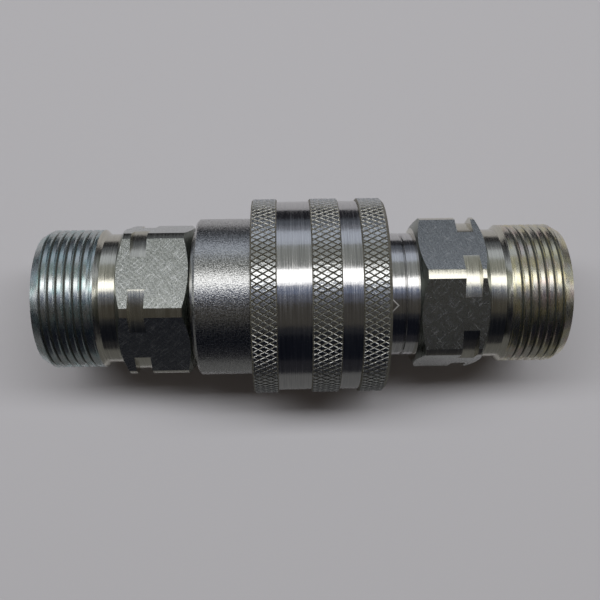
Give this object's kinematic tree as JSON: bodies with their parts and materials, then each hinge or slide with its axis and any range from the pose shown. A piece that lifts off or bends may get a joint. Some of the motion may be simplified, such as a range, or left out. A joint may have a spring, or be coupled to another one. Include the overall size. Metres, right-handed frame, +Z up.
{
  "type": "breakaway hydraulic coupling",
  "caption": "Breakaway hydraulic coupling, coupled: socket half with knurled sprung sleeve, plug half, hexagons and threaded cone ports.",
  "frame": {"origin": "on the coupling's axis, halfway between the two port faces", "axes": "+X along the axis towards the plug half's port, +Z up as it lies on its sleeve"},
  "size_m": [0.1328, 0.0508, 0.0508],
  "materials": {
    "plated_steel": "zinc plated, turned",
    "inner_steel": "turned",
    "spring_steel": "drawn wire",
    "ball_steel": "polished",
    "seal_rubber": "moulded",
    "backup_plastic": "turned"
  },
  "bodies": {
    "socket": {"socket_adaptor": "plated_steel", "socket_body": "plated_steel", "adaptor_o_ring": "seal_rubber", "nose_o_ring": "seal_rubber", "nose_backup_ring": "backup_plastic", "locking_balls": "ball_steel", "sleeve_stop_ring": "spring_steel", "socket_valve_guide": "inner_steel", "socket_valve_spring": "spring_steel", "rear_sleeve_spring": "spring_steel", "front_sleeve_spring": "spring_steel"},
    "sleeve_group": {"sleeve": "plated_steel", "sleeve_guide_ring": "inner_steel", "sleeve_retaining_ring": "spring_steel"},
    "socket_valve": {"socket_poppet": "inner_steel", "socket_poppet_seal": "seal_rubber"},
    "plug": {"plug_body": "plated_steel", "plug_adaptor": "plated_steel", "plug_joint_o_ring": "seal_rubber", "plug_valve_guide": "inner_steel", "plug_valve_spring": "spring_steel"},
    "plug_valve": {"plug_poppet": "inner_steel", "plug_poppet_seal": "seal_rubber"}
  },
  "joints": [
    {"name": "sleeve_slide", "type": "slide", "parent": "socket", "child": "sleeve_group", "axis": [1, 0, 0], "range_m": [-0.0041, 0.0041], "stiffness_N_per_m": 8000, "deforming": ["rear_sleeve_spring", "front_sleeve_spring"]},
    {"name": "plug_pull", "type": "slide", "parent": "socket", "child": "plug", "axis": [1, 0, 0], "range_m": [0, 0.03], "deforming": ["locking_balls"]},
    {"name": "socket_valve_slide", "type": "slide", "parent": "socket", "child": "socket_valve", "axis": [1, 0, 0], "range_m": [0, 0.005], "deforming": ["socket_valve_spring"]},
    {"name": "plug_valve_slide", "type": "slide", "parent": "plug", "child": "plug_valve", "axis": [-1, 0, 0], "range_m": [0, 0.005], "deforming": ["plug_valve_spring"]}
  ],
  "couplings": [
    {"joint": "socket_valve_slide", "follows": "plug_pull", "ratio": 0.16667},
    {"joint": "plug_valve_slide", "follows": "plug_pull", "ratio": 0.16667}
  ]
}
